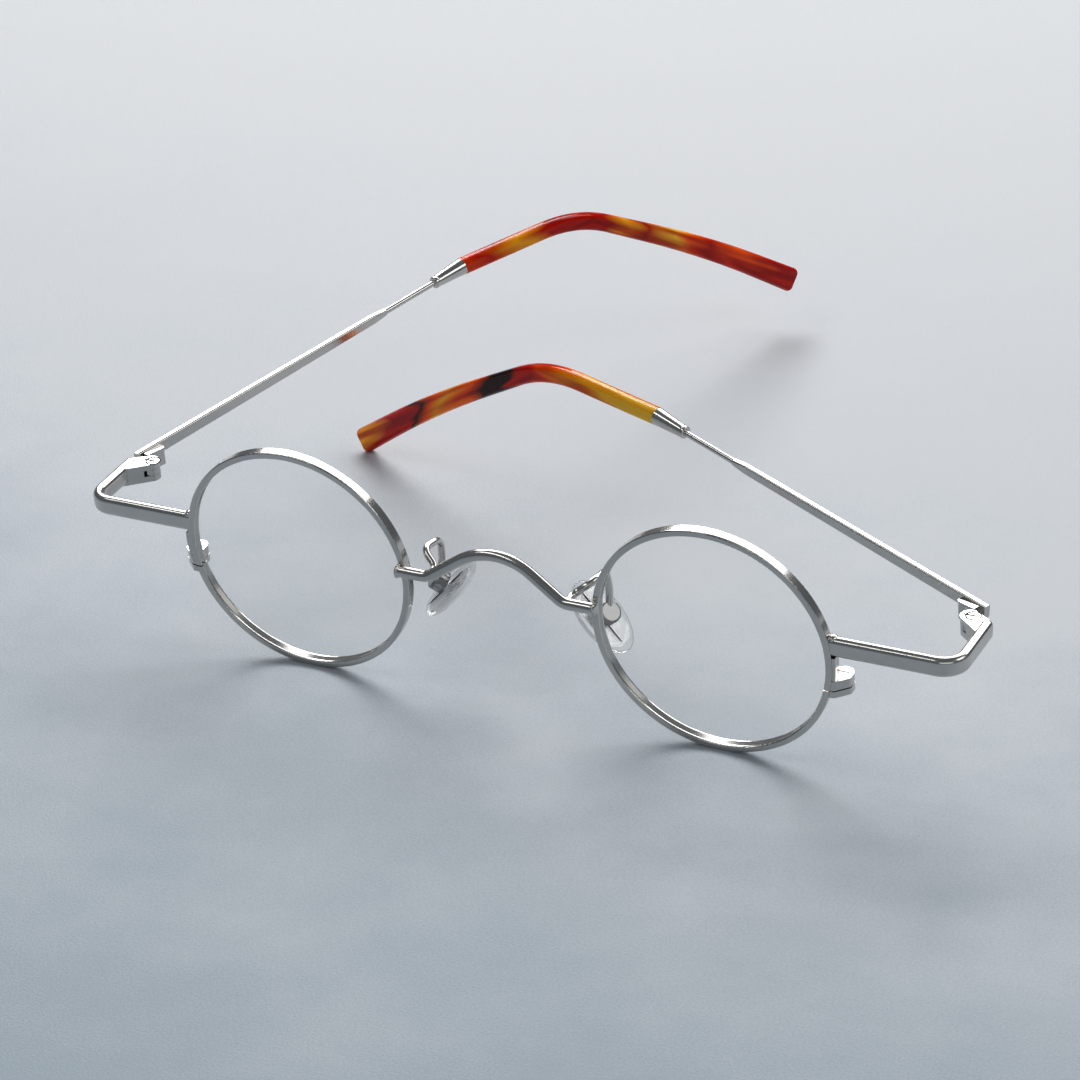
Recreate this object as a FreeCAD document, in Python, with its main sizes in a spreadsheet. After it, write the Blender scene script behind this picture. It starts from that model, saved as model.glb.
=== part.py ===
import FreeCAD, Part
# Round full-rim metal eyeglasses with soldered wave bridge, boxed nose pads and acetate temple tips.
#
# Front frame: X runs to the wearer's left, Y back towards the ears, Z up in the plane of the rims;
# its origin lies midway between the two eye centres, on the front faces of the rims.
# The finished part stands on both rims and on the left temple tip, with Z up and the origin
# under the middle of its box.
import math
import os
import re
import Sketcher

from FreeCAD import Placement, Rotation, Vector

doc = FreeCAD.newDocument("Eyeglasses")

# ---------------------------------------------------------------- driving sizes, millimetres and degrees
SIZES = [
    # front: eyes, rims, lenses
    ("eye_half_distance", 33.0),
    ("rim_radius", 18.3),
    ("rim_wall", 1.0),
    ("rim_depth", 1.76),
    ("rim_edge_round", 0.22),
    ("groove_depth", 0.4),
    ("groove_half_width", 0.5),
    ("lens_thickness", 1.3),
    ("lens_curve_radius", 180.0),
    ("lens_seat_clearance", 0.03),
    ("slit_width", 0.2),
    # bridge
    ("bridge_wire", 1.75),
    ("bridge_level", 2.5),
    ("bridge_bend_out", 10.8),
    ("bridge_rise", 7.34),
    ("bridge_foot_bend", 2.9),
    ("bridge_crown_bend", 10.2),
    ("bridge_lean", 12.0),
    ("bridge_flat", 0.12),
    ("bridge_lap", 1.0),
    # end pieces
    ("bar_height", 3.0),
    ("bar_thickness", 1.75),
    ("bar_edge_round", 0.84),
    ("bar_level", 2.8),
    ("bar_reach", 69.0),
    ("bar_sweep", 1.15),
    ("bar_bend", 3.2),
    ("bar_back", 1.1),
    ("bar_droop", 2.5),
    # rim locks
    ("lock_level", -4.25),
    ("lock_upper_height", 1.5),
    ("lock_lower_height", 1.0),
    ("lock_width", 2.8),
    ("lock_depth", 4.35),
    ("lock_round", 1.3),
    ("lock_nose", 1.9),
    ("lock_strap", 0.5),
    ("lock_inset", 0.4),
    ("lock_screw_shank", 1.0),
    ("lock_screw_head", 1.7),
    ("lock_screw_head_height", 0.5),
    ("lock_screw_back", 3.05),
    # hinges
    ("hinge_out", 66.1),
    ("hinge_back", 14.5),
    ("hinge_top", 2.5),
    ("hinge_lean", 2.9),
    ("barrel_radius", 1.4),
    ("leaf_reach", 4.2),
    ("leaf_gap", 0.3),
    ("ear_height", 0.95),
    ("slot_relief", 0.5),
    ("knuckle_height", 0.94),
    ("hinge_screw_shank", 1.2),
    ("hinge_screw_head", 2.1),
    ("hinge_screw_head_height", 0.4),
    ("running_clearance", 0.02),
    ("side_clearance", 0.03),
    ("thread_clearance", 0.01),
    # temples
    ("temple_offset", 3.2),
    ("temple_drop", 0.88),
    ("temple_rise", 5.67),
    ("temple_bar_height", 2.1),
    ("temple_bar_end_height", 1.5),
    ("temple_bar_thickness", 1.1),
    ("temple_bar_length", 48.0),
    ("temple_taper", 2.5),
    ("temple_wire", 0.95),
    ("temple_gap", 0.15),
    ("ferrule_start", 61.6),
    ("ferrule_length", 5.4),
    ("ferrule_small", 1.95),
    ("ferrule_large", 2.75),
    ("temple_leaf_length", 3.4),
    ("temple_leaf_start", 0.8),
    ("temple_leaf_thickness", 1.0),
    # temple tips
    ("tip_kink", 7.0),
    ("tip_kink_bend", 4.0),
    ("tip_straight", 17.5),
    ("tip_bend", 30.0),
    ("tip_bend_angle", 28.6),
    ("tip_drop_length", 49.8),
    ("tip_drop_bend", 300.0),
    ("tip_drop_angle", 5.56),
    ("tip_height", 2.8),
    ("tip_drop_height", 3.5),
    ("tip_end_height", 4.25),
    ("tip_thickness", 2.2),
    ("tip_round", 0.92),
    ("tip_corner", 1.0),
    ("core_end_cover", 9.5),
    # folds of the two temples and the lean of the front as the glasses stand
    ("fold_left", 67.6),
    ("fold_right", 21.0),
    ("stand_lean", 7.64),
    # nose pads
    ("pad_out", 12.2),
    ("pad_back", 7.7),
    ("pad_down", 4.95),
    ("pad_length", 12.4),
    ("pad_width", 7.0),
    ("pad_crown", 1.5),
    ("pad_backing", 0.5),
    ("pad_splay", 41.0),
    ("pad_tilt", -11.5),
    ("pad_turn", 24.9),
    ("core_length", 10.0),
    ("core_width", 4.8),
    ("core_thickness", 0.3),
    ("core_rib", 0.35),
    ("pad_pivot", 2.1),
    ("lug_thickness", 0.9),
    ("lug_length", 1.6),
    ("lug_nose", 0.5),
    ("pad_box_diameter", 3.4),
    ("pad_box_height", 1.9),
    ("pad_box_gap", 0.7),
    ("pad_box_floor", 0.35),
    ("pad_screw_shank", 0.8),
    ("pad_screw_head", 1.3),
    ("pad_screw_head_height", 0.4),
    ("arm_wire", 1.1),
    ("arm_bend", 2.1),
]

NAMES = {alias for alias, number in SIZES}

sheet = doc.addObject("Spreadsheet::Sheet", "Sizes")
for row, (alias, number) in enumerate(SIZES, start=1):
    sheet.set("A%d" % row, alias)
    sheet.set("B%d" % row, str(number))
    sheet.setAlias("B%d" % row, alias)
doc.recompute()


def size(alias):
    """A driving size as a plain number."""
    return float(sheet.get(alias))


def full(formula):
    """The formula with the sheet's name in front of every size."""
    return re.sub(r"[a-z][a-z_]*[a-z]", lambda m: "Sizes." + m[0] if m[0] in NAMES else m[0], formula)


def value(formula):
    """The number that a formula over the sheet gives."""
    found = sheet.evalExpression(full(formula))
    return float(getattr(found, "Value", found))


def bind(feature, **formulas):
    """Bind properties to formulas over the sheet; double underscores stand for dots."""
    for prop, formula in formulas.items():
        feature.setExpression(prop.replace("__", "."), full(formula))


# ---------------------------------------------------------------- sketch and body helpers
def new_body(label):
    """An empty body whose label names its file."""
    body = doc.addObject("PartDesign::Body", label)
    body.Label = label
    return body


def new_sketch(body, name, role, lift=None, lean=None):
    """A sketch on one of the body's origin planes, lifted along its normal or leant about its X."""
    sketch = body.newObject("Sketcher::SketchObject", name)
    plane = [p for p in body.Origin.OriginFeatures if p.Role == role][0]
    sketch.AttachmentSupport = [(plane, "")]
    sketch.MapMode = "FlatFace"
    if lean is not None:
        sketch.AttachmentOffset = Placement(Vector(), Rotation(Vector(1, 0, 0), value(lean)))
        bind(sketch, AttachmentOffset__Rotation__Angle=lean)
    if lift is not None:
        bind(sketch, AttachmentOffset__Base__z=lift)
    doc.recompute()
    return sketch


def pin_point(sketch, geometry, position, x_formula, y_formula):
    """Fix one point of a sketch at two formulas measured from the sketch origin."""
    for kind, axis, formula in (("DistanceX", -2, x_formula), ("DistanceY", -1, y_formula)):
        number = value(formula)
        if abs(number) < 1e-9:
            sketch.addConstraint(Sketcher.Constraint("PointOnObject", geometry, position, axis))
        elif number > 0:
            at = sketch.addConstraint(Sketcher.Constraint(kind, -1, 1, geometry, position, number))
            sketch.setExpression("Constraints[%d]" % at, full(formula))
        else:
            at = sketch.addConstraint(Sketcher.Constraint(kind, geometry, position, -1, 1, -number))
            sketch.setExpression("Constraints[%d]" % at, "-(%s)" % full(formula))


def outline(sketch, corners):
    """A closed straight-sided outline through corners given as pairs of formulas."""
    points = [Vector(value(x), value(y), 0) for x, y in corners]
    first = sketch.GeometryCount
    count = len(points)
    for i in range(count):
        sketch.addGeometry(Part.LineSegment(points[i], points[(i + 1) % count]), False)
    for i in range(count):
        after = first + (i + 1) % count
        sketch.addConstraint(Sketcher.Constraint("Coincident", first + i, 2, after, 1))
    for i, (x, y) in enumerate(corners):
        pin_point(sketch, first + i, 1, x, y)


def soft_outline(sketch, corners, radii):
    """A closed outline whose corners, given as pairs of formulas, are rounded; None leaves one sharp."""
    points = [Vector(value(x), value(y), 0) for x, y in corners]
    count = len(points)
    guides = []
    for i in range(count):
        guides.append(sketch.addGeometry(Part.LineSegment(points[i], points[(i + 1) % count]), True))
    for i in range(count):
        joined = guides[(i + 1) % count]
        sketch.addConstraint(Sketcher.Constraint("Coincident", guides[i], 2, joined, 1))
    for guide, (x, y) in zip(guides, corners):
        pin_point(sketch, guide, 1, x, y)
    bends = []
    for i in range(count):
        around = [points[i - 1], points[i], points[(i + 1) % count]]
        bends.append(None if radii[i] is None else bend_points(around, [value(radii[i])])[0])
    runs = []
    for i in range(count):
        ahead = bends[(i + 1) % count]
        start = points[i] if bends[i] is None else bends[i][2]
        end = points[(i + 1) % count] if ahead is None else ahead[0]
        runs.append(sketch.addGeometry(Part.LineSegment(start, end), False))
    for i in range(count):
        join_runs(sketch, (guides[i - 1], runs[i - 1]), (guides[i], runs[i]), bends[i], radii[i])


def join_runs(sketch, before, after, bend, radius):
    """Join two straight runs, each given with its guide line, at a sharp corner or by an arc."""
    guide_in, run_in = before
    guide_out, run_out = after
    if bend is None:
        sketch.addConstraint(Sketcher.Constraint("Coincident", run_in, 2, guide_in, 2))
        sketch.addConstraint(Sketcher.Constraint("Coincident", run_out, 1, guide_out, 1))
        return
    arc = sketch.addGeometry(Part.Arc(*bend), False)
    sketch.addConstraint(Sketcher.Constraint("PointOnObject", run_in, 2, guide_in))
    sketch.addConstraint(Sketcher.Constraint("PointOnObject", run_out, 1, guide_out))
    turns_left = (bend[1] - bend[0]).cross(bend[2] - bend[1]).z > 0
    arc_in, arc_out = (1, 2) if turns_left else (2, 1)
    sketch.addConstraint(Sketcher.Constraint("Tangent", run_in, 2, arc, arc_in))
    sketch.addConstraint(Sketcher.Constraint("Tangent", run_out, 1, arc, arc_out))
    held = sketch.addConstraint(Sketcher.Constraint("Radius", arc, value(radius)))
    sketch.setExpression("Constraints[%d]" % held, full(radius))


def circle(sketch, x, y, radius):
    """A circle with its centre and radius given by formulas."""
    centre = Vector(value(x), value(y), 0)
    at = sketch.addGeometry(Part.Circle(centre, Vector(0, 0, 1), value(radius)), False)
    pin_point(sketch, at, 3, x, y)
    held = sketch.addConstraint(Sketcher.Constraint("Radius", at, value(radius)))
    sketch.setExpression("Constraints[%d]" % held, full(radius))


def bend_points(corners, radii):
    """For each inner corner: the two tangent points of an arc of that radius, and its middle."""
    found = []
    for before, here, after, radius in zip(corners, corners[1:], corners[2:], radii):
        back = (before - here).normalize()
        ahead = (after - here).normalize()
        half = back.getAngle(ahead) / 2
        reach = radius / math.tan(half)
        centre = here + (back + ahead).normalize() * (radius / math.sin(half))
        middle = centre + (here - centre).normalize() * radius
        found.append((here + back * reach, middle, here + ahead * reach))
    return found


def bent_path(sketch, corners, radii):
    """Straight runs joined by tangent arcs, along a pinned polygon of construction lines."""
    points = [Vector(value(x), value(y), 0) for x, y in corners]
    bends = bend_points(points, [value(r) for r in radii])
    guides = []
    for start, end in zip(points, points[1:]):
        guides.append(sketch.addGeometry(Part.LineSegment(start, end), True))
    for before, after in zip(guides, guides[1:]):
        sketch.addConstraint(Sketcher.Constraint("Coincident", before, 2, after, 1))
    for i, (x, y) in enumerate(corners[:-1]):
        pin_point(sketch, guides[i], 1, x, y)
    pin_point(sketch, guides[-1], 2, *corners[-1])
    starts = [points[0]] + [bend[2] for bend in bends]
    ends = [bend[0] for bend in bends] + [points[-1]]
    runs = [sketch.addGeometry(Part.LineSegment(a, b), False) for a, b in zip(starts, ends)]
    sketch.addConstraint(Sketcher.Constraint("Coincident", runs[0], 1, guides[0], 1))
    sketch.addConstraint(Sketcher.Constraint("Coincident", runs[-1], 2, guides[-1], 2))
    for i, (bend, radius) in enumerate(zip(bends, radii)):
        join_runs(sketch, (guides[i], runs[i]), (guides[i + 1], runs[i + 1]), bend, radius)


def pad(body, sketch, length, back=False, middle=False):
    """Extrude a sketch by a formula along its normal, against it, or half to each side."""
    feature = body.newObject("PartDesign::Pad", sketch.Name + "_pad")
    feature.Profile = sketch
    feature.Reversed = back
    if middle:
        feature.SideType = "Symmetric"
    bind(feature, Length=length)
    doc.recompute()
    return feature


def pocket(body, sketch, length=None, back=False):
    """Cut a sketch away along its normal by a formula, or right through both ways."""
    before = body.Shape.Volume
    feature = body.newObject("PartDesign::Pocket", sketch.Name + "_pocket")
    feature.Profile = sketch
    if length is None:
        feature.Type = 1
        feature.SideType = "Symmetric"
    else:
        feature.Reversed = back
        bind(feature, Length=length)
    doc.recompute()
    if body.Shape.Volume > before - 1e-6:
        raise RuntimeError("%s cuts nothing" % feature.Name)
    return feature


def revolve(body, sketch, cut=False, axis="V_Axis"):
    """Turn a sketch once round one of its own axes, adding or cutting."""
    before = body.Shape.Volume if cut else 0.0
    kind = "PartDesign::Groove" if cut else "PartDesign::Revolution"
    feature = body.newObject(kind, sketch.Name + "_turned")
    feature.Profile = sketch
    feature.ReferenceAxis = (sketch, [axis])
    feature.Angle = 360.0
    doc.recompute()
    if cut and body.Shape.Volume > before - 1e-6:
        raise RuntimeError("%s cuts nothing" % feature.Name)
    return feature


def sweep(body, section, path):
    """Carry a section sketch along a path sketch."""
    feature = body.newObject("PartDesign::AdditivePipe", path.Name + "_pipe")
    feature.Profile = section
    feature.Spine = (path, ["Edge%d" % (i + 1) for i in range(len(path.Shape.Edges))])
    doc.recompute()
    return feature


def round_edges(body, radius, wanted):
    """Fillet every edge of the body that the test picks, with a formula for the radius."""
    base = body.Tip
    names = ["Edge%d" % (i + 1) for i, e in enumerate(base.Shape.Edges) if wanted(e)]
    feature = body.newObject("PartDesign::Fillet", "Rounding")
    feature.Base = (base, names)
    bind(feature, Radius=radius)
    doc.recompute()
    return feature


def is_circle(edge, radius):
    """True for a round edge of this radius."""
    curve = edge.Curve
    return curve.TypeId == "Part::GeomCircle" and abs(curve.Radius - radius) < 1e-4


def in_plane(edge, axis, level):
    """True for an edge lying wholly in the plane where this coordinate has this value."""
    points = [vertex.Point[axis] for vertex in edge.Vertexes]
    middle = edge.valueAt((edge.FirstParameter + edge.LastParameter) / 2)[axis]
    return all(abs(found - level) < 1e-4 for found in points + [middle])


def frame(base, rotation=Rotation()):
    """A placement from a point and a turn."""
    return Placement(Vector(*base), rotation)


def turn(x, y, z, degrees):
    """A turn about one axis."""
    return Rotation(Vector(x, y, z), degrees)


SIDES = (("left", 1), ("right", -1))
pieces = []


def keep(piece, where):
    """Note a finished piece and set it in the frame of the front."""
    piece.Placement = where
    pieces.append(piece)
    doc.recompute()
    return piece


def out(side, formula):
    """A formula measured outwards from the nose: negative on the wearer's right."""
    return formula if side > 0 else "-(%s)" % formula


# ---------------------------------------------------------------- places of the sub-assemblies in the front
def eye_frame(side):
    """Centre of one eye on the front plane."""
    return frame((side * size("eye_half_distance"), 0, 0))


def hinge_frame(side):
    """Top of the hinge ears on the hinge axis, which leans back."""
    base = (side * size("hinge_out"), size("hinge_back"), size("hinge_top"))
    return frame(base, turn(1, 0, 0, -size("hinge_lean")))


def temple_frame(side):
    """The hinge frame turned by the fold of that temple."""
    fold = size("fold_left") if side > 0 else size("fold_right")
    return hinge_frame(side) * frame((0, 0, 0), turn(0, 0, 1, side * fold))


def temple_line(side):
    """Centre line of the temple bar: outside the hinge axis, rising slightly to the rear."""
    base = (side * size("temple_offset"), 0, -size("temple_drop"))
    return temple_frame(side) * frame(base, turn(1, 0, 0, size("temple_rise")))


def bar_frame(side):
    """Start of the end piece bar on the outer side of the rim, drooping outwards and rearwards."""
    base = (side * (size("eye_half_distance") + size("rim_radius")), size("bar_back"), size("bar_level"))
    lean = turn(1, 0, 0, -size("hinge_lean"))
    return frame(base, lean * turn(0, 1, 0, side * size("bar_droop")))


def pad_frame(side):
    """Middle of one nose pad: X across the pad, Y down its length, Z out of its nose face."""
    splay = turn(0, 1, 0, side * -size("pad_splay"))
    facing = splay.multVec(Vector(-side, 0, 0))
    tilt = Rotation(facing, side * size("pad_tilt"))
    yaw = turn(0, 0, 1, side * -size("pad_turn"))
    facing = yaw.multVec(facing)
    down = yaw.multVec(tilt.multVec(splay.multVec(Vector(0, 0, -1))))
    base = (side * size("pad_out"), size("pad_back"), -size("pad_down"))
    return frame(base, Rotation(down.cross(facing), down, facing, "ZYX"))


# ---------------------------------------------------------------- screws
def build_screw(label, where, shank, length, head, head_height):
    """Slotted cheese-head screw with the middle of its head top at the frame origin."""
    body = new_body(label)
    shape = new_sketch(body, label + "_half", "XZ_Plane")
    outline(shape, [
        ("0", "0"),
        ("%s / 2" % head, "0"),
        ("%s / 2" % head, "-(%s)" % head_height),
        ("%s / 2" % shank, "-(%s)" % head_height),
        ("%s / 2" % shank, "-(%s)" % length),
        ("0", "-(%s)" % length),
    ])
    revolve(body, shape)
    slot = new_sketch(body, label + "_slot", "XY_Plane")
    outline(slot, [
        ("-%s" % head, "-%s / 10" % head),
        (head, "-%s / 10" % head),
        (head, "%s / 10" % head),
        ("-%s" % head, "%s / 10" % head),
    ])
    pocket(body, slot, "%s / 2" % head_height)
    return keep(body, where)


# ---------------------------------------------------------------- rims: round wire with a lens groove, slit at the lock
def build_rim(name, side):
    body = new_body("rim_" + name)
    ring = new_sketch(body, "ring_" + name, "XY_Plane")
    inner = "(rim_radius - rim_wall)"
    middle = "rim_depth / 2"
    outline(ring, [
        (inner, "0"),
        ("rim_radius", "0"),
        ("rim_radius", "rim_depth"),
        (inner, "rim_depth"),
        (inner, middle + " + groove_half_width"),
        (inner + " + groove_depth", middle),
        (inner, middle + " - groove_half_width"),
    ])
    revolve(body, ring)
    outer_radius = size("rim_radius")
    inner_radius = outer_radius - size("rim_wall")
    faces = (0.0, size("rim_depth"))

    def is_face_edge(edge):
        on_face = any(in_plane(edge, 1, level) for level in faces)
        return on_face and (is_circle(edge, outer_radius) or is_circle(edge, inner_radius))

    round_edges(body, "rim_edge_round", is_face_edge)
    slit = new_sketch(body, "slit_" + name, "XZ_Plane")
    inside = out(side, "rim_radius - 3 * rim_wall")
    outside = out(side, "rim_radius + rim_wall")
    outline(slit, [
        (inside, "lock_level - slit_width / 2"),
        (outside, "lock_level - slit_width / 2"),
        (outside, "lock_level + slit_width / 2"),
        (inside, "lock_level + slit_width / 2"),
    ])
    pocket(body, slit)
    return keep(body, eye_frame(side))


for name, side in SIDES:
    build_rim(name, side)


# ---------------------------------------------------------------- lenses: curved plano lenses with a bevel in the groove
def build_lens(name, side):
    ridge = "(rim_radius - rim_wall + groove_depth - lens_seat_clearance)"
    depth = "(groove_depth + 0.1)"
    half = "(%s * groove_half_width / groove_depth)" % depth
    middle = "rim_depth / 2"
    blank = new_body("lens_blank_" + name)
    edge = new_sketch(blank, "bevel_" + name, "XY_Plane")
    outline(edge, [
        ("0", "-rim_depth"),
        (ridge + " - " + depth, "-rim_depth"),
        (ridge + " - " + depth, middle + " - " + half),
        (ridge, middle),
        (ridge + " - " + depth, middle + " + " + half),
        (ridge + " - " + depth, "2 * rim_depth"),
        ("0", "2 * rim_depth"),
    ])
    revolve(blank, edge)
    sag = "(lens_curve_radius - sqrt(lens_curve_radius ^ 2 - %s ^ 2))" % ridge
    pole = "(%s - lens_thickness / 2 - %s)" % (middle, sag)
    balls = []
    for surface, shrink in (("front", "0"), ("back", "lens_thickness")):
        ball = doc.addObject("Part::Sphere", "lens_%s_%s" % (surface, name))
        bind(ball, Radius="lens_curve_radius - " + shrink, Placement__Base__y=pole + " + lens_curve_radius")
        balls.append(ball)
    faced = doc.addObject("Part::Common", "lens_faced_" + name)
    faced.Base = blank
    faced.Tool = balls[0]
    lens = doc.addObject("Part::Cut", "lens_" + name)
    lens.Label = "lens_" + name
    lens.Base = faced
    lens.Tool = balls[1]
    doc.recompute()
    return keep(lens, eye_frame(side))


for name, side in SIDES:
    build_lens(name, side)


# ---------------------------------------------------------------- bridge: bent wire laid across the rims' front faces
bridge = new_body("bridge")
lap = "(eye_half_distance - rim_radius + bridge_lap)"
wave = new_sketch(bridge, "bridge_line", "XZ_Plane", lean="-bridge_lean")
bent_path(wave, [
    ("-%s" % lap, "0"),
    ("-bridge_bend_out", "0"),
    ("0", "bridge_rise"),
    ("bridge_bend_out", "0"),
    (lap, "0"),
], ["bridge_foot_bend", "bridge_crown_bend", "bridge_foot_bend"])
wire_end = new_sketch(bridge, "bridge_wire_end", "YZ_Plane", lift="-%s" % lap)
circle(wire_end, "0", "0", "bridge_wire / 2")
sweep(bridge, wire_end, wave)
round_edges(bridge, "bridge_wire / 4", lambda edge: is_circle(edge, size("bridge_wire") / 2) and (
    in_plane(edge, 0, value(lap)) or in_plane(edge, 0, -value(lap))))
flat_front = "(bridge_wire / 2 - bridge_flat)"
flats = new_sketch(bridge, "bridge_flats", "XY_Plane")
for side in (1, -1):
    outline(flats, [
        (out(side, lap + " - 1.5 * bridge_lap"), flat_front),
        (out(side, lap + " + bridge_lap"), flat_front),
        (out(side, lap + " + bridge_lap"), "bridge_wire"),
        (out(side, lap + " - 1.5 * bridge_lap"), "bridge_wire"),
    ])
pocket(bridge, flats)
keep(bridge, frame((0, -value(flat_front), size("bridge_level"))))


# ---------------------------------------------------------------- end pieces: soft-edged bar from the rim, bent back
def build_end_piece(name, side):
    bar = new_body("end_bar_" + name)
    line = new_sketch(bar, "end_line_" + name, "XY_Plane")
    reach = "(bar_reach - eye_half_distance - rim_radius)"
    rear = "(hinge_back - leaf_gap - bar_back)"
    bent_path(line, [
        (out(side, "-bar_height / 4"), "0"),
        (out(side, reach), "bar_sweep"),
        (out(side, reach), rear),
    ], ["bar_bend"])
    section = new_sketch(bar, "end_section_" + name, "YZ_Plane", lift=out(side, "-bar_height / 4"))
    outline(section, [
        ("-bar_thickness / 2", "-bar_height / 2"),
        ("bar_thickness / 2", "-bar_height / 2"),
        ("bar_thickness / 2", "bar_height / 2"),
        ("-bar_thickness / 2", "bar_height / 2"),
    ])
    sweep(bar, section, line)
    start = value(out(side, "-bar_height / 4"))
    end = value(rear)
    round_edges(bar, "bar_edge_round", lambda edge: not in_plane(edge, 0, start) and not in_plane(edge, 1, end))
    bar.Placement = bar_frame(side)
    rim_space = doc.addObject("Part::Cylinder", "rim_space_" + name)
    bind(rim_space, Radius="rim_radius", Height="6 * rim_depth")
    rim_space.Placement = eye_frame(side) * frame((0, 3 * size("rim_depth"), 0), turn(1, 0, 0, 90))
    piece = doc.addObject("Part::Cut", "endpiece_" + name)
    piece.Label = "endpiece_" + name
    piece.Base = bar
    piece.Tool = rim_space
    doc.recompute()
    keep(piece, frame((0, 0, 0)))
    return bar


end_bars = {side: build_end_piece(name, side) for name, side in SIDES}


# ---------------------------------------------------------------- rim locks: split block with one upright screw
LOCK_INNER = "(sqrt(rim_radius ^ 2 - lock_level ^ 2) - lock_inset)"
LOCK_SCREW_OUT = "(%s + lock_width / 2)" % LOCK_INNER


def build_lock_half(name, side, upper):
    label = "lock_%s_%s" % ("upper" if upper else "lower", name)
    height = "lock_upper_height" if upper else "lock_lower_height"
    split = "lock_level + slit_width / 2" if upper else "lock_level - slit_width / 2"
    body = new_body(label)
    plan = new_sketch(body, label + "_plan", "XY_Plane", lift=split)
    inner = out(side, LOCK_INNER)
    outer = out(side, LOCK_INNER + " + lock_width")
    soft_outline(plan, [
        (inner, "rim_edge_round / 2"),
        (out(side, "sqrt(rim_radius ^ 2 - lock_level ^ 2) + lock_strap"), "rim_edge_round / 2"),
        (outer, "lock_nose"),
        (outer, "lock_depth"),
        (inner, "lock_depth"),
    ], [None, "rim_edge_round", "lock_round / 2", "lock_round", "lock_round"])
    pad(body, plan, height, back=not upper)
    if upper:
        low = "asin((lock_level + lock_upper_height / 2) / rim_radius)"
        high = "asin((bar_level - bar_height / 2 - slit_width / 4) / (rim_radius + lock_strap))"
        strap = new_sketch(body, label + "_strap", "XY_Plane")
        turn_to = low if side > 0 else "-(%s)" % low
        strap.AttachmentOffset = frame((0, 0, 0), turn(0, 1, 0, -value(turn_to)))
        bind(strap, AttachmentOffset__Rotation__Angle="-(%s)" % turn_to)
        doc.recompute()
        outline(strap, [
            (out(side, "rim_radius - rim_edge_round"), "rim_edge_round"),
            (out(side, "rim_radius + lock_strap"), "rim_edge_round"),
            (out(side, "rim_radius + lock_strap"), "rim_depth - rim_edge_round"),
            (out(side, "rim_radius - rim_edge_round"), "rim_depth - rim_edge_round"),
        ])
        ring = revolve(body, strap)
        ring.Reversed = side > 0
        bind(ring, Angle="%s - %s" % (high, low))
        doc.recompute()
    rim_space = new_sketch(body, label + "_rim_space", "XY_Plane")
    outline(rim_space, [
        ("rim_radius / 2", "-rim_depth"),
        ("rim_radius", "-rim_depth"),
        ("rim_radius", "rim_depth"),
        ("rim_radius / 2", "rim_depth"),
    ])
    revolve(body, rim_space, cut=True)
    hole = "lock_screw_shank / 2 + " + ("running_clearance" if upper else "thread_clearance")
    bore = new_sketch(body, label + "_bore", "XY_Plane")
    circle(bore, out(side, LOCK_SCREW_OUT), "lock_screw_back", hole)
    pocket(body, bore)
    if upper:
        seat = new_sketch(body, label + "_seat", "XY_Plane", lift="lock_level + slit_width / 2 + " + height)
        circle(seat, out(side, LOCK_SCREW_OUT), "lock_screw_back", "lock_screw_head / 2 + running_clearance")
        pocket(body, seat, "lock_screw_head_height")
    return keep(body, eye_frame(side))


for name, side in SIDES:
    build_lock_half(name, side, True)
    build_lock_half(name, side, False)
    top = (value(out(side, LOCK_SCREW_OUT)), size("lock_screw_back"),
           value("lock_level + slit_width / 2 + lock_upper_height"))
    build_screw("lock_screw_" + name, eye_frame(side) * frame(top), "lock_screw_shank",
                "(lock_upper_height + slit_width + lock_lower_height - 0.1)",
                "lock_screw_head", "lock_screw_head_height")


# ---------------------------------------------------------------- hinges: two ears, one knuckle, one screw
STACK = "(2 * ear_height + knuckle_height + 2 * side_clearance)"
SLOT = "(knuckle_height + 2 * side_clearance)"


def tangent_point(x, y, radius, way):
    """Where a line from (x, y) touches the circle about the origin; way +1 turns anticlockwise."""
    toward = math.degrees(math.atan2(value(y), value(x)))
    spread = "acos(%s / sqrt((%s) ^ 2 + (%s) ^ 2))" % (radius, x, y)
    angle = "(atan((%s) / (%s)) + %s * %s)" % (y, x, way, spread)
    if abs(toward) > 90:
        angle = "(180 deg + %s)" % angle
    return "%s * cos(%s)" % (radius, angle), "%s * sin(%s)" % (radius, angle)


def build_front_leaf(name, side):
    label = "hinge_front_leaf_" + name
    body = new_body("leaf_blank_" + name)
    root_out = out(side, "bar_reach - hinge_out")
    near = (root_out, "-leaf_gap")
    far = (root_out, "-leaf_reach")
    plan = new_sketch(body, label + "_web", "XY_Plane")
    outline(plan, [
        far,
        near,
        tangent_point(near[0], near[1], "barrel_radius", side),
        tangent_point(far[0], far[1], "barrel_radius", -side),
    ])
    pad(body, plan, STACK, back=True)
    barrel = new_sketch(body, label + "_barrel", "XY_Plane")
    circle(barrel, "0", "0", "barrel_radius")
    pad(body, barrel, STACK, back=True)
    slot = new_sketch(body, label + "_slot", "XY_Plane", lift="-ear_height")
    circle(slot, "0", "0", "barrel_radius + slot_relief")
    pocket(body, slot, SLOT)
    bore = new_sketch(body, label + "_bore", "XY_Plane")
    circle(bore, "0", "0", "hinge_screw_shank / 2 + running_clearance")
    pocket(body, bore, "ear_height + side_clearance")
    seat = new_sketch(body, label + "_seat", "XY_Plane")
    circle(seat, "0", "0", "hinge_screw_head / 2 + running_clearance")
    pocket(body, seat, "hinge_screw_head_height")
    thread = new_sketch(body, label + "_thread", "XY_Plane", lift="-%s" % STACK)
    circle(thread, "0", "0", "hinge_screw_shank / 2 + thread_clearance")
    pocket(body, thread, "ear_height + side_clearance", back=True)
    body.Placement = hinge_frame(side)
    leaf = doc.addObject("Part::Cut", label)
    leaf.Label = label
    leaf.Base = body
    leaf.Tool = end_bars[side]
    doc.recompute()
    return keep(leaf, frame((0, 0, 0)))


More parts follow.
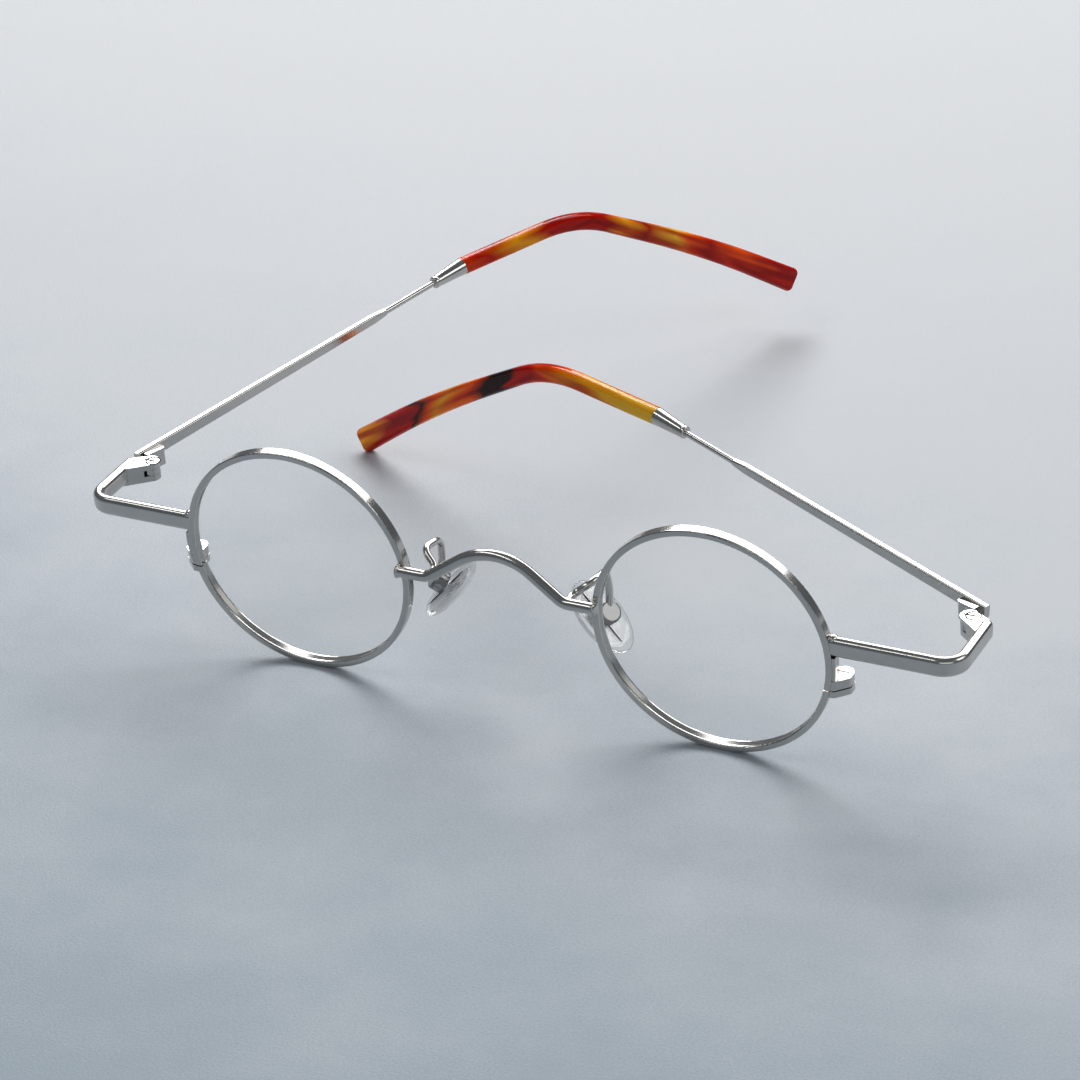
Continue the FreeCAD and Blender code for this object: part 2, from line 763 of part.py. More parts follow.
def build_temple_leaf(name, side):
    label = "hinge_temple_leaf_" + name
    body = new_body(label)
    seat_out = "(temple_offset - temple_bar_thickness / 2)"
    inner = out(side, seat_out + " - temple_leaf_thickness")
    outer = out(side, seat_out)
    front = "temple_leaf_start"
    rear = "(temple_leaf_start + temple_leaf_length)"
    plate = new_sketch(body, label + "_plate", "XY_Plane", lift="-side_clearance")
    soft_outline(plate, [
        (inner, front),
        (outer, front),
        (outer, rear),
        (inner, rear),
    ], [None, None, None, "temple_leaf_thickness / 2"])
    pad(body, plate, STACK + " - 2 * side_clearance", back=True)
    arm = new_sketch(body, label + "_arm", "XY_Plane", lift="-(ear_height + side_clearance)")
    near = (inner, front)
    far = (inner, "(temple_leaf_start + barrel_radius)")
    outline(arm, [
        tangent_point(near[0], near[1], "barrel_radius", -side),
        near,
        far,
        tangent_point(far[0], far[1], "barrel_radius", side),
    ])
    pad(body, arm, "knuckle_height", back=True)
    knuckle = new_sketch(body, label + "_knuckle", "XY_Plane", lift="-(ear_height + side_clearance)")
    circle(knuckle, "0", "0", "barrel_radius")
    pad(body, knuckle, "knuckle_height", back=True)
    bore = new_sketch(body, label + "_bore", "XY_Plane")
    circle(bore, "0", "0", "hinge_screw_shank / 2 + running_clearance")
    pocket(body, bore)
    return keep(body, temple_frame(side))


for name, side in SIDES:
    build_front_leaf(name, side)
    build_temple_leaf(name, side)
    build_screw("hinge_screw_" + name, hinge_frame(side), "hinge_screw_shank",
                "(%s - 0.1)" % STACK, "hinge_screw_head", "hinge_screw_head_height")


# ---------------------------------------------------------------- temples: swaged bar, drawn wire, ferrule, acetate tip
KINK = "(ferrule_start + ferrule_length)"
BEND_REACH = "(tip_bend * tan(tip_bend_angle / 2))"
AFTER_BEND = "(tip_kink + tip_bend_angle)"
AFTER_DROP = "(tip_kink + tip_bend_angle + tip_drop_angle)"


def step(point, length, angle):
    """The point a given length further on, heading rearwards and down by the angle."""
    return "%s + %s * cos(%s)" % (point[0], length, angle), "%s - %s * sin(%s)" % (point[1], length, angle)


def temple_corners(short="0"):
    """Corners of the tip's centre line from the kink to the end, which may be cut short."""
    kink = (KINK, "0")
    bend = step(kink, "(tip_straight + %s)" % BEND_REACH, "tip_kink")
    drop = step(bend, "(%s + tip_drop_length / 2)" % BEND_REACH, AFTER_BEND)
    end = step(drop, "(tip_drop_length / 2 - %s)" % short, AFTER_DROP)
    return [kink, bend, drop, end]


def beside(point, height, angle, half_turn, sign):
    """The corner of the tip's edge above or below a corner of its centre line."""
    reach = "%s * %s / 2 / cos(%s)" % (sign, height, half_turn)
    return "%s + %s * sin(%s)" % (point[0], reach, angle), "%s + %s * cos(%s)" % (point[1], reach, angle)


def build_temple_bar(name, side):
    body = new_body("temple_bar_" + name)
    profile = new_sketch(body, "bar_side_" + name, "YZ_Plane")
    front = "(temple_gap - leaf_gap)"
    taper_end = "(temple_bar_length + temple_taper)"
    outline(profile, [
        (front, "-temple_bar_height / 2"),
        ("temple_bar_length", "-temple_bar_end_height / 2"),
        (taper_end, "-temple_wire / 2"),
        (taper_end, "temple_wire / 2"),
        ("temple_bar_length", "temple_bar_end_height / 2"),
        (front, "temple_bar_height / 2"),
    ])
    pad(body, profile, "temple_bar_thickness", middle=True)
    faces = (size("temple_bar_thickness") / 2, -size("temple_bar_thickness") / 2)
    ends = (value(front), value(taper_end))
    round_edges(body, "temple_wire / 3", lambda edge: any(in_plane(edge, 0, f) for f in faces)
                and not any(in_plane(edge, 1, e) for e in ends))
    line = new_sketch(body, "wire_line_" + name, "YZ_Plane")
    bent_path(line, [("temple_bar_length", "0")] + temple_corners("core_end_cover"),
              ["tip_kink_bend", "tip_bend", "tip_drop_bend"])
    section = new_sketch(body, "wire_section_" + name, "XZ_Plane", lift="-temple_bar_length")
    circle(section, "0", "0", "temple_wire / 2")
    sweep(body, section, line)
    return keep(body, temple_line(side))


def build_ferrule(name, side):
    body = new_body("ferrule_" + name)
    sleeve = new_sketch(body, "sleeve_" + name, "XY_Plane")
    bore = "(temple_wire / 2 + running_clearance)"
    outline(sleeve, [
        (bore, "ferrule_start"),
        ("ferrule_small / 2", "ferrule_start"),
        ("ferrule_large / 2", KINK),
        (bore, KINK),
    ])
    revolve(body, sleeve)
    return keep(body, temple_line(side))


def build_tip(name, side):
    body = new_body("temple_tip_" + name)
    kink, bend, drop, end = temple_corners()
    edges = []
    for sign in ("1", "-1"):
        edges.append([
            beside(kink, "tip_height", "0", "0", sign),
            beside(bend, "tip_height", "(tip_kink + tip_bend_angle / 2)", "(tip_bend_angle / 2)", sign),
            beside(drop, "tip_drop_height", "(%s + tip_drop_angle / 2)" % AFTER_BEND,
                   "(tip_drop_angle / 2)", sign),
            beside(end, "tip_end_height", AFTER_DROP, "0", sign),
        ])
    top, bottom = edges
    profile = new_sketch(body, "tip_side_" + name, "YZ_Plane")
    soft_outline(profile, top + bottom[::-1], [
        None, "tip_bend + tip_height / 2", "tip_drop_bend", "tip_corner",
        "tip_corner", "tip_drop_bend", "tip_bend - tip_height / 2", None,
    ])
    pad(body, profile, "tip_thickness", middle=True)
    start = value(KINK)
    faces = (size("tip_thickness") / 2, -size("tip_thickness") / 2)
    round_edges(body, "tip_round", lambda edge: any(in_plane(edge, 0, f) for f in faces)
                and not in_plane(edge, 1, start))
    line = new_sketch(body, "core_line_" + name, "YZ_Plane")
    bent_path(line, [(KINK + " - tip_thickness", "0")] + temple_corners("core_end_cover"),
              ["tip_kink_bend", "tip_bend", "tip_drop_bend"])
    section = new_sketch(body, "core_section_" + name, "XZ_Plane", lift="-(%s - tip_thickness)" % KINK)
    circle(section, "0", "0", "temple_wire / 2 + thread_clearance")
    channel = body.newObject("PartDesign::SubtractivePipe", "core_channel_" + name)
    channel.Profile = section
    channel.Spine = (line, ["Edge%d" % (i + 1) for i in range(len(line.Shape.Edges))])
    doc.recompute()
    return keep(body, temple_line(side))


for name, side in SIDES:
    build_temple_bar(name, side)
    build_ferrule(name, side)
    build_tip(name, side)


# ---------------------------------------------------------------- nose pads: clear pad on a steel core, swinging in a box
def pad_core_body(label):
    """Rounded steel plate with a rib down its back, a lug and the lug's eye for the pivot screw."""
    body = new_body(label)
    plate = new_sketch(body, label + "_plate", "XY_Plane", lift="-(pad_backing - slit_width)")
    soft_outline(plate, [
        ("-core_width / 2", "-core_length / 2"),
        ("core_width / 2", "-core_length / 2"),
        ("core_width / 2", "core_length / 2"),
        ("-core_width / 2", "core_length / 2"),
    ], ["core_width * 0.45"] * 4)
    pad(body, plate, "core_thickness")
    rib = new_sketch(body, label + "_rib", "XY_Plane", lift="-(pad_backing - slit_width / 4)")
    outline(rib, [
        ("-core_rib / 2", "-(core_length / 2 - core_rib)"),
        ("core_rib / 2", "-(core_length / 2 - core_rib)"),
        ("core_rib / 2", "core_length / 2 - core_rib"),
        ("-core_rib / 2", "core_length / 2 - core_rib"),
    ])
    pad(body, rib, "slit_width")
    lug = new_sketch(body, label + "_lug", "YZ_Plane")
    soft_outline(lug, [
        ("-lug_length / 2", "-(pad_pivot + lug_nose)"),
        ("lug_length / 2", "-(pad_pivot + lug_nose)"),
        ("lug_length / 2", "-(pad_backing - slit_width / 2)"),
        ("-lug_length / 2", "-(pad_backing - slit_width / 2)"),
    ], ["lug_length / 4", "lug_length / 4", None, None])
    pad(body, lug, "lug_thickness", middle=True)
    eye = new_sketch(body, label + "_eye", "YZ_Plane")
    circle(eye, "0", "-pad_pivot", "pad_screw_shank / 2 + running_clearance")
    pocket(body, eye)
    return body


def build_pad_box(name, side):
    body = new_body("pad_box_" + name)
    mouth = "-(pad_backing + pad_box_gap)"
    cup = new_sketch(body, "cup_" + name, "XY_Plane", lift=mouth)
    circle(cup, "0", "0", "pad_box_diameter / 2")
    pad(body, cup, "pad_box_height", back=True)
    bottom = value("%s - pad_box_height" % mouth)
    rim_of_cup = size("pad_box_diameter") / 2
    round_edges(body, "pad_box_floor", lambda edge: is_circle(edge, rim_of_cup) and in_plane(edge, 2, bottom))
    cavity = new_sketch(body, "cavity_" + name, "XY_Plane", lift=mouth)
    outline(cavity, [
        ("-(lug_thickness / 2 + 2 * side_clearance)", "-pad_box_diameter * 0.37"),
        ("(lug_thickness / 2 + 2 * side_clearance)", "-pad_box_diameter * 0.37"),
        ("(lug_thickness / 2 + 2 * side_clearance)", "pad_box_diameter * 0.37"),
        ("-(lug_thickness / 2 + 2 * side_clearance)", "pad_box_diameter * 0.37"),
    ])
    pocket(body, cavity, "pad_box_height - pad_box_floor")
    bore = new_sketch(body, "pivot_bore_" + name, "YZ_Plane")
    circle(bore, "0", "-pad_pivot", "pad_screw_shank / 2 + thread_clearance")
    pocket(body, bore)
    seat = new_sketch(body, "pivot_seat_" + name, "YZ_Plane", lift="pad_box_diameter / 2")
    circle(seat, "0", "-pad_pivot", "pad_screw_head / 2 + running_clearance")
    pocket(body, seat, "pad_screw_head_height + 0.1")
    return keep(body, pad_frame(side))


def build_pad(name, side):
    dome = doc.addObject("Part::Ellipsoid", "pad_dome_" + name)
    dome.Angle1 = -90
    bind(dome, Radius1="pad_crown", Radius2="pad_width / 2", Radius3="pad_length / 2")
    slab = doc.addObject("Part::Box", "pad_slab_" + name)
    bind(slab, Length="pad_width", Width="pad_length", Height="pad_crown + pad_backing",
         Placement__Base__x="-pad_width / 2", Placement__Base__y="-pad_length / 2",
         Placement__Base__z="-pad_backing")
    blank = doc.addObject("Part::Common", "pad_blank_" + name)
    blank.Base = dome
    blank.Tool = slab
    moulded = doc.addObject("Part::Cut", "nose_pad_" + name)
    moulded.Label = "nose_pad_" + name
    moulded.Base = blank
    moulded.Tool = pad_core_body("core_space_" + name)
    doc.recompute()
    return keep(moulded, pad_frame(side))


def rod(points, radii, radius):
    """A round rod along straight runs joined by tangent arcs in space."""
    bends = bend_points(points, radii)
    starts = [points[0]] + [bend[2] for bend in bends]
    ends = [bend[0] for bend in bends] + [points[-1]]
    edges = []
    for i, (start, end) in enumerate(zip(starts, ends)):
        edges.append(Part.makeLine(start, end))
        if i < len(bends):
            edges.append(Part.Arc(*bends[i]).toShape())
    section = Part.Wire([Part.makeCircle(radius, points[0], (ends[0] - points[0]).normalize())])
    return Part.Wire(edges).makePipeShell([section], True, False)


def build_pad_arm(name, side):
    box = pad_frame(side)
    mouth = size("pad_backing") + size("pad_box_gap")
    middle = box.multVec(Vector(0, 0, -mouth - size("pad_box_height") / 2))
    points = [
        Vector(side * 11.2, 0.2 - size("bridge_wire") / 2, 2.4),
        Vector(side * 10.9, 2.1, 2.2),
        Vector(side * 13.6, 3.6, 4.0),
        Vector(side * 13.3, 8.3, 3.1),
        Vector(side * 13.5, 8.3, -0.7),
        middle,
    ]
    bend = size("arm_bend")
    wire = rod(points, [0.7 * bend, bend, bend, bend], size("arm_wire") / 2)
    cup = Part.makeCylinder(size("pad_box_diameter") / 2, size("pad_box_height"))
    cup.Placement = box * frame((0, 0, -mouth - size("pad_box_height")))
    cut = wire.cut(bridge.Shape).cut(cup)
    longest = max(cut.Solids, key=lambda solid: solid.Volume)
    arm = doc.addObject("Part::Feature", "pad_arm_" + name)
    arm.Label = "pad_arm_" + name
    arm.Shape = longest
    doc.recompute()
    return keep(arm, frame((0, 0, 0)))


for name, side in SIDES:
    keep(pad_core_body("pad_core_" + name), pad_frame(side))
    build_pad_box(name, side)
    build_pad(name, side)
    head = pad_frame(side) * frame((size("pad_box_diameter") / 2 - 0.1, 0, -size("pad_pivot")), turn(0, 1, 0, 90))
    build_screw("pad_screw_" + name, head, "pad_screw_shank", "(pad_box_diameter - 0.5)",
                "pad_screw_head", "pad_screw_head_height")
    build_pad_arm(name, side)


# ---------------------------------------------------------------- standing on both rims and the left temple tip
def lowest(piece, lean):
    """Lowest point of a piece once the front is leant forward by this many degrees."""
    turned = piece.Shape.copy()
    turned.Placement = frame((0, 0, 0), turn(1, 0, 0, lean)) * turned.Placement
    return turned.optimalBoundingBox(False, False).ZMin


by_name = {piece.Label: piece for piece in pieces}
low_lean, high_lean = 0.0, 2 * size("stand_lean")
for _ in range(24):
    lean = (low_lean + high_lean) / 2
    if lowest(by_name["temple_tip_left"], lean) > lowest(by_name["rim_left"], lean):
        high_lean = lean
    else:
        low_lean = lean

standing = frame((0, 0, 0), turn(1, 0, 0, lean))
boxes = []
for piece in pieces:
    turned = piece.Shape.copy()
    turned.Placement = standing * turned.Placement
    boxes.append(turned.optimalBoundingBox(False, False))
whole = boxes[0]
for box in boxes[1:]:
    whole.add(box)
shift = Vector(-(whole.XMin + whole.XMax) / 2, -(whole.YMin + whole.YMax) / 2, -whole.ZMin)
for piece in pieces:
    piece.Placement = frame(shift) * standing * piece.Placement
doc.recompute()

# ---------------------------------------------------------------- test every object, then write the pieces
for item in doc.Objects:
    if "Invalid" in item.State or "Error" in item.State:
        raise RuntimeError("%s did not build: %s" % (item.Name, item.State))
for piece in pieces:
    if piece.Shape.isNull() or not piece.Shape.isValid() or len(piece.Shape.Solids) != 1:
        raise RuntimeError("%s is not one sound solid" % piece.Label)

os.makedirs("parts", exist_ok=True)
for piece in pieces:
    piece.Shape.exportStep("parts/%s.step" % piece.Label)
print("lean %.3f, box %.1f x %.1f x %.1f, shift (%.4f, %.4f, %.4f)" % (
    lean, whole.XLength, whole.YLength, whole.ZLength, shift.x, shift.y, shift.z))
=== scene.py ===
import math

import bpy
import numpy as np
from mathutils import Euler, Matrix, Vector


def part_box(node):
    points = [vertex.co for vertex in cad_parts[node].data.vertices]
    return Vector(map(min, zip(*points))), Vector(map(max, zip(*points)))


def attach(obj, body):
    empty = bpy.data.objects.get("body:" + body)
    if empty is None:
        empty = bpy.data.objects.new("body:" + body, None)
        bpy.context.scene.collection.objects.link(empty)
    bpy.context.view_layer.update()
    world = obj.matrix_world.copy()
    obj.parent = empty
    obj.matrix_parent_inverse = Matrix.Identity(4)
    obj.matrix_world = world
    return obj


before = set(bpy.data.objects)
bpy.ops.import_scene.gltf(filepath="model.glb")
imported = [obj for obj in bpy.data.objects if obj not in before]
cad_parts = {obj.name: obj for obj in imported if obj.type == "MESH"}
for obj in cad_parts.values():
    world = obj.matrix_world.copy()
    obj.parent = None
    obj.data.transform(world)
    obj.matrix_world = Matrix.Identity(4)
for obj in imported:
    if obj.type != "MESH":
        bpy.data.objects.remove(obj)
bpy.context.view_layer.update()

# ------------------------------------------------------------------ rims and front
# The front is drawn from nickel silver wire and plate, soldered together, tumbled and then
# rhodium plated, so it is bright but slightly satin, with very fine haze in soft patches.

SILVER = (0.60, 0.585, 0.56)
HAZE_PER_METRE = 160.0
HAZE_SHADE = 0.94
GRAIN_PER_METRE = 9000.0
GRAIN_STRENGTH = 0.06
GRAIN_HEIGHT = 0.00001
PLATED_PIECES = ["rim", "lock_upper", "lock_lower", "endpiece", "hinge_front_leaf",
                 "hinge_temple_leaf", "temple_bar", "pad_arm", "ferrule"]


def start_material(name):
    """A new material with its Principled shader, and short ways to add nodes and links."""
    material = bpy.data.materials.new(name)
    material.use_nodes = True
    nodes = material.node_tree.nodes
    links = material.node_tree.links
    return material, nodes, links, nodes["Principled BSDF"]


def pattern(nodes, links, kind, scale, **inputs):
    """A texture node laid on the piece's own Object coordinates, in features per metre."""
    place = nodes.get("Texture Coordinate") or nodes.new("ShaderNodeTexCoord")
    texture = nodes.new(kind)
    texture.inputs["Scale"].default_value = scale
    for name, number in inputs.items():
        texture.inputs[name.replace("_", " ")].default_value = number
    links.new(place.outputs["Object"], texture.inputs["Vector"])
    return texture


def spread(nodes, links, source, low, high, clip=(0.3, 0.7)):
    """Stretch a texture's middle values over the range low to high."""
    span = nodes.new("ShaderNodeMapRange")
    span.inputs["From Min"].default_value = clip[0]
    span.inputs["From Max"].default_value = clip[1]
    span.inputs["To Min"].default_value = low
    span.inputs["To Max"].default_value = high
    links.new(source, span.inputs["Value"])
    return span.outputs["Result"]


def ramp(nodes, links, source, stops):
    """Colours along a texture's value; stops are (place, colour) pairs."""
    node = nodes.new("ShaderNodeValToRGB")
    band = node.color_ramp
    while len(band.elements) < len(stops):
        band.elements.new(0.5)
    for element, (at, colour) in zip(band.elements, stops):
        element.position = at
        element.color = (*colour, 1.0)
    links.new(source, node.inputs["Fac"])
    return node.outputs["Color"]


def reckon(nodes, links, operation, *terms):
    """One Math node; each term is a number or a socket that it reads."""
    node = nodes.new("ShaderNodeMath")
    node.operation = operation
    for slot, term in zip(node.inputs, terms):
        if isinstance(term, float):
            slot.default_value = term
        else:
            links.new(term, slot)
    return node.outputs["Value"]


def raise_surface(nodes, links, shader, height, strength, distance):
    """Bump from a height, chained after any bump the shader already has."""
    bump = nodes.new("ShaderNodeBump")
    bump.inputs["Strength"].default_value = strength
    bump.inputs["Distance"].default_value = distance
    links.new(height, bump.inputs["Height"])
    if shader.inputs["Normal"].links:
        links.new(shader.inputs["Normal"].links[0].from_socket, bump.inputs["Normal"])
    links.new(bump.outputs["Normal"], shader.inputs["Normal"])


def plated_metal(name, colour, smooth, rough):
    """Polished plated metal: haze in soft patches over a fine tumbling grain, in colour, gloss and bump."""
    material, nodes, links, shader = start_material(name)
    haze = pattern(nodes, links, "ShaderNodeTexNoise", HAZE_PER_METRE, Detail=3.0)
    dark = tuple(part * HAZE_SHADE for part in colour)
    tint = ramp(nodes, links, haze.outputs["Fac"], [(0.35, dark), (0.65, colour)])
    links.new(tint, shader.inputs["Base Color"])
    grain = pattern(nodes, links, "ShaderNodeTexNoise", GRAIN_PER_METRE, Detail=2.0)
    grain_half = reckon(nodes, links, "MULTIPLY", grain.outputs["Fac"], 0.5)
    wear = reckon(nodes, links, "MULTIPLY_ADD", haze.outputs["Fac"], 0.5, grain_half)
    links.new(spread(nodes, links, wear, smooth, rough), shader.inputs["Roughness"])
    shader.inputs["Metallic"].default_value = 1.0
    raise_surface(nodes, links, shader, grain.outputs["Fac"], GRAIN_STRENGTH, GRAIN_HEIGHT)
    return material


def dress(node, material):
    """Give a carried-over CAD node its finish."""
    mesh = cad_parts[node].data
    mesh.materials.clear()
    mesh.materials.append(material)


silver = plated_metal("silver plating", SILVER, smooth=0.12, rough=0.22)
dress("bridge", silver)
for side in ("left", "right"):
    for piece in PLATED_PIECES:
        dress("%s_%s" % (piece, side), silver)

# ------------------------------------------------------------------ solder beads
# Silver solder run into each joint of the front and left as a small smooth bead: where the
# bridge wire meets the rims, on top of the end bars at the rims, and at the foot of the pad arms.

BEAD_COLUMNS = 40
BEAD_ROWS = 24
BRIDGE_BEAD = (0.00052, 0.00105, 0.00105)
BAR_BEAD = (0.00075, 0.00085, 0.00055)
BAR_BEAD_OUT = 0.0002
BAR_BEAD_UP = 0.0012
BAR_END_DEPTH = 0.0006
ARM_END_DEPTH = 0.0004
BEAD_SWELL = 0.05
POLE_GAP = 0.06
ARM_BEAD = (0.00060, 0.00062, 0.00062)


def points_of(node):
    """All points of a CAD node as an array, in metres."""
    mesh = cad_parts[node].data
    flat = np.empty(len(mesh.vertices) * 3)
    mesh.vertices.foreach_get("co", flat)
    return flat.reshape(-1, 3)


def end_of(node, heading, depth=0.0003):
    """The middle of a node's end face: the mean of its points within depth of the furthest one."""
    points = points_of(node)
    reach = points @ np.asarray(heading, dtype=float)
    return points[reach > reach.max() - depth].mean(axis=0)


def grid_mesh(name, points, ring, body, finish):
    """A closed mesh from points[row, column]: columns close round, and rows close too on a ring.

    Otherwise the first and last rows are small circles, each shut by one flat face.
    """
    rows, columns = points.shape[:2]
    here = np.arange(rows * columns).reshape(rows, columns)
    down = np.roll(here, -1, axis=0)
    across = np.roll(here, -1, axis=1)
    corner = np.roll(down, -1, axis=1)
    quads = np.stack([here, down, corner, across], axis=-1)
    if not ring:
        quads = quads[:-1]
    faces = quads.reshape(-1, 4).tolist()
    if not ring:
        faces += [here[0].tolist(), here[-1][::-1].tolist()]
    mesh = bpy.data.meshes.new(name)
    mesh.from_pydata(points.reshape(-1, 3).tolist(), [], faces)
    mesh.polygons.foreach_set("use_smooth", np.ones(len(mesh.polygons), dtype=bool))
    mesh.materials.append(finish)
    piece = bpy.data.objects.new(name, mesh)
    bpy.context.scene.collection.objects.link(piece)
    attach(piece, body)
    return piece


def solder_bead(name, centre, radii):
    """A bead: an ellipsoid whose radius swells by a twentieth in three slow lobes round its middle.

    point = centre + radii * (sin t cos p, sin t sin p, cos t) * (1 + swell sin t sin 3p), with t from
    pole to pole down the rows and p once round along the columns.
    """
    tilt = np.linspace(POLE_GAP, np.pi - POLE_GAP, BEAD_ROWS)[:, None]
    turn = np.linspace(0.0, 2 * np.pi, BEAD_COLUMNS, endpoint=False)[None, :]
    swell = 1.0 + BEAD_SWELL * np.sin(tilt) * np.sin(3 * turn)
    unit = np.stack(
        [np.sin(tilt) * np.cos(turn), np.sin(tilt) * np.sin(turn), np.cos(tilt) + 0 * turn], axis=-1)
    points = np.asarray(centre) + unit * swell[..., None] * np.asarray(radii)
    return grid_mesh(name, points, False, "front", silver)


for side, across in (("left", 1.0), ("right", -1.0)):
    solder_bead("bridge_solder_" + side, end_of("bridge", (across, 0.0, 0.0)), BRIDGE_BEAD)
    bar_end = end_of("endpiece_" + side, (-across, 0.0, 0.0), BAR_END_DEPTH)
    solder_bead("bar_solder_" + side, bar_end + (across * BAR_BEAD_OUT, 0.0, BAR_BEAD_UP), BAR_BEAD)
    arm_foot = end_of("pad_arm_" + side, (0.0, -1.0, 0.0), ARM_END_DEPTH)
    solder_bead("arm_solder_" + side, arm_foot, ARM_BEAD)

# ------------------------------------------------------------------ ferrule collars
# A turned collar closes the small end of each ferrule where the temple wire comes out of it.

COLLAR_WALL = 0.00042
COLLAR_HALF_LENGTH = 0.00045
COLLAR_GAP = 0.0003
COLLAR_RADIUS = 0.00058
RING_ROWS = 28
RING_COLUMNS = 56
RING_SQUARENESS = 0.6


def axes_of(points):
    """Three directions in which a set of points is longest, next and thinnest: its singular vectors."""
    return np.linalg.svd(points - points.mean(axis=0), full_matrices=False)[2]


def collar(name, body, finish, centre, axis, radius, wall, half_length):
    """A ring round an axis: radius + wall * |cos a|^0.6 outwards and half length * |sin a|^0.6 along.

    The powers, each with its sine's or cosine's own sign, square the ring's section off with round corners.
    """
    axis = np.asarray(axis) / np.linalg.norm(axis)
    first = np.cross(axis, (0.0, 0.0, 1.0))
    first = first / np.linalg.norm(first)
    second = np.cross(axis, first)
    section = np.linspace(0.0, 2 * np.pi, RING_ROWS, endpoint=False)[:, None]
    turn = np.linspace(0.0, 2 * np.pi, RING_COLUMNS, endpoint=False)[None, :]
    out = radius + wall * np.sign(np.cos(section)) * np.abs(np.cos(section)) ** RING_SQUARENESS
    rise = -half_length * np.sign(np.sin(section)) * np.abs(np.sin(section)) ** RING_SQUARENESS
    points = (np.asarray(centre) + (out * np.cos(turn))[..., None] * first
              + (out * np.sin(turn))[..., None] * second + (rise + 0 * turn)[..., None] * axis)
    return grid_mesh(name, points, True, body, finish)


for side in ("left", "right"):
    points = points_of("ferrule_" + side)
    tip_middle = points_of("temple_tip_" + side).mean(axis=0)
    along = axes_of(points)[0]
    along = along * np.sign((points.mean(axis=0) - tip_middle) @ along)
    small_end = end_of("ferrule_" + side, along)
    collar("collar_" + side, "temple_" + side, silver,
           small_end + along * COLLAR_GAP, along,
           COLLAR_RADIUS, COLLAR_WALL, COLLAR_HALF_LENGTH)

# ------------------------------------------------------------------ screws and pad cores
# Turned steel screws with a sawn slot, and the stamped steel plate moulded into each nose pad.
# Screws and pad boxes are duller than the plated front, and the polished plates are brighter.

STEEL = (0.50, 0.50, 0.49)
BOX_METAL = (0.26, 0.26, 0.255)
PLATE = (0.90, 0.905, 0.905)
SHADE = (0.012, 0.012, 0.013)
turned = plated_metal("turned steel", STEEL, smooth=0.22, rough=0.34)
boxed = plated_metal("pad box metal", BOX_METAL, smooth=0.18, rough=0.30)
stamped = plated_metal("stamped plate", PLATE, smooth=0.16, rough=0.30)
# A near-black finish for painted shade: the dark ring in each hinge screw's seat and the dark line down
# each pad plate's fold.
painted_shade = plated_metal("painted shade", SHADE, smooth=0.45, rough=0.65)
for side in ("left", "right"):
    dress("pad_core_" + side, stamped)
    dress("pad_box_" + side, boxed)
    for piece in ("lock_screw", "hinge_screw", "pad_screw"):
        dress("%s_%s" % (piece, side), turned)

# ------------------------------------------------------------------ seats of the hinge screws
# A near-black ring of painted shade lies in the gap between each hinge screw's head and its seat.

SEAT_RADIUS = 0.00107
SEAT_WALL = 0.00011
SEAT_HALF_HEIGHT = 0.00006
SCREW_FACE_DEPTH = 0.00002

for side in ("left", "right"):
    axis = axes_of(points_of("hinge_screw_" + side))[0]
    axis = axis * np.sign(axis[2])
    collar("screw_seat_shade_" + side, "front", painted_shade,
           end_of("hinge_screw_" + side, axis, SCREW_FACE_DEPTH), axis,
           SEAT_RADIUS, SEAT_WALL, SEAT_HALF_HEIGHT)

# ------------------------------------------------------------------ seams of the pad plates
# Each pad's plate is folded from thin strip; a thin near-black rod down its middle is painted shade in the
# fold.

SEAM_LENGTH = 0.92
SEAM_HALF_WIDTH = 0.00014
SEAM_HALF_HEIGHT = 0.00009
SEAM_ROWS = 33
SEAM_COLUMNS = 16
SEAM_END = 0.995
SEAM_LIFT = 0.00004
PLATE_END_SHARE = 0.1
PLATE_FACE_DEPTH = 0.00008


def seam(name, body, centre, along, across, out, half_length):
    """A thin closed rod: an ellipse across and out, tapered to its ends by the square root of 1 - t^6."""
    place = np.linspace(-SEAM_END, SEAM_END, SEAM_ROWS)[:, None]
    turn = np.linspace(0.0, -2 * np.pi, SEAM_COLUMNS, endpoint=False)[None, :]
    full = np.sqrt(1.0 - place ** 6)
    points = (np.asarray(centre) + (place * half_length + 0 * turn)[..., None] * along
              + (full * SEAM_HALF_WIDTH * np.cos(turn))[..., None] * across
              + (full * SEAM_HALF_HEIGHT * np.sin(turn))[..., None] * out)
    return grid_mesh(name, points, False, body, painted_shade)


for side in ("left", "right"):
    points = points_of("pad_core_" + side)
    along, across, out = axes_of(points)
    middle = points_of("nose_pad_" + side).mean(axis=0)
    out = out * np.sign((points_of("pad_box_" + side).mean(axis=0) - middle) @ out)
    across = np.cross(out, along)
    spans = points @ along
    low, high = spans.min(), spans.max()
    flat = points[np.abs(spans - low) < (high - low) * PLATE_END_SHARE]
    foot = flat[(flat @ out) > (flat @ out).max() - PLATE_FACE_DEPTH].mean(axis=0)
    centre = foot + along * ((low + high) / 2 - foot @ along)
    # This adds one number to all three coordinates, not a shift across, and leaves each seam
    # 0.3 to 0.45 mm off the plate's middle. The line is only kept so that the shapes stay the same.
    centre = centre + across * (points.mean(axis=0) - centre) @ across
    seam("plate_seam_shade_" + side, "nose_pad_" + side, centre + out * SEAM_LIFT, along, across, out,
         (high - low) / 2 * SEAM_LENGTH)

# ------------------------------------------------------------------ lenses
# Clear plastic demonstration lenses, cut with a bevel that sits in the rim's groove.
# They are almost invisible: a trace of pale haze and a soft sheen where light strikes.

LENS_TINT = (0.90, 0.92, 0.91)
LENS_BODY = 0.05
WOBBLE_PER_METRE = 60.0
WOBBLE_STRENGTH = 0.02
WOBBLE_HEIGHT = 0.0001
SMUDGE_PER_METRE = 350.0
PALE_LIFT = 1.03


